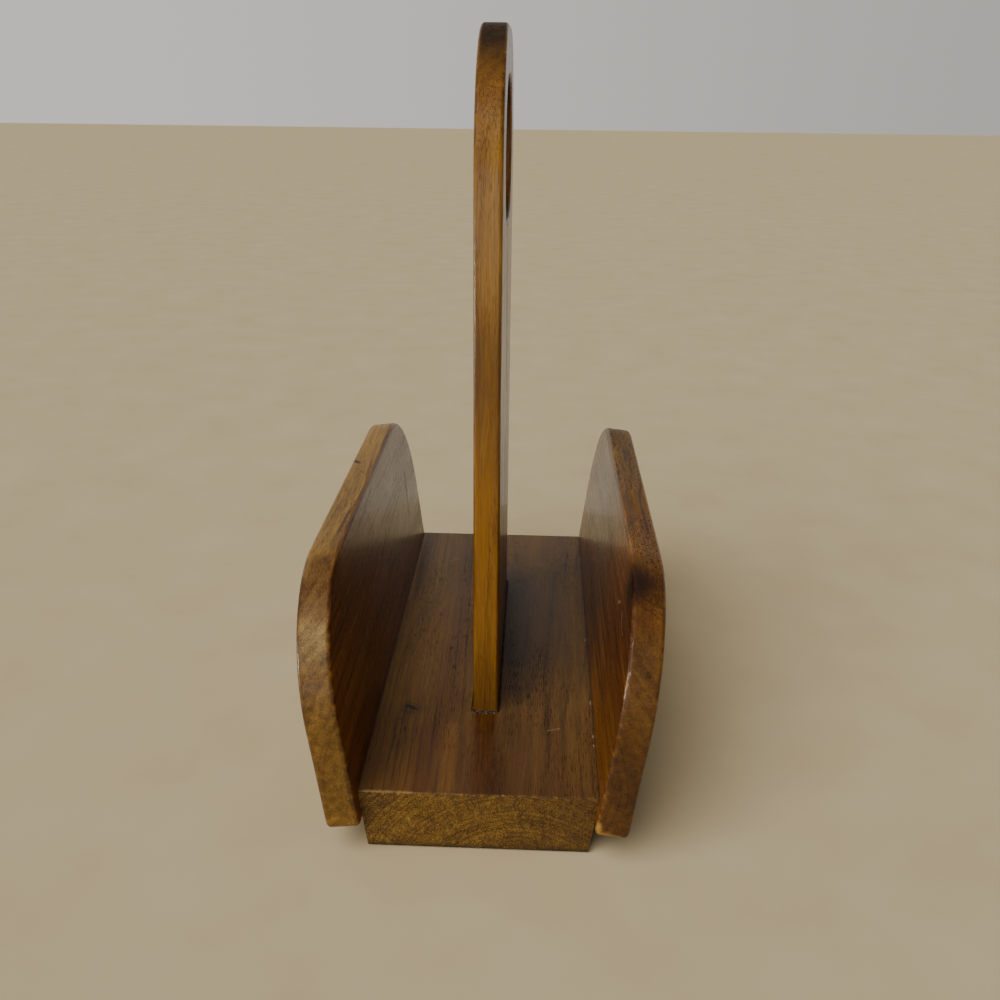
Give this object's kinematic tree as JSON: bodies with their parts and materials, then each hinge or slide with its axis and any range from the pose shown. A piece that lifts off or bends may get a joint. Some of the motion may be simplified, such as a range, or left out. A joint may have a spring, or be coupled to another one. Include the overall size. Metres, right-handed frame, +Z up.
{
  "type": "napkin holder",
  "caption": "Wooden table napkin holder: thick base block, side panels that lean outwards with rounded upper corners, and a tall upright handle board with a grip hole between the napkin bays.",
  "frame": {"origin": "centre of the base block's flat underside, on the table", "axes": "+X across the two napkin bays, +Y along them from front to back, +Z up"},
  "size_m": [0.092, 0.1615, 0.1988],
  "materials": {
    "base_wood": "satin varnish",
    "panel_wood": "satin varnish",
    "handle_wood": "satin varnish",
    "dowel_wood": "bare",
    "screw_steel": "zinc plated",
    "glue": "set glue"
  },
  "bodies": {
    "root": {"base": "base_wood", "left_panel": "panel_wood", "right_panel": "panel_wood", "handle": "handle_wood", "left_dowels": "dowel_wood", "right_dowels": "dowel_wood", "handle_screws": "screw_steel", "glue_bead": "glue"}
  },
  "joints": []
}
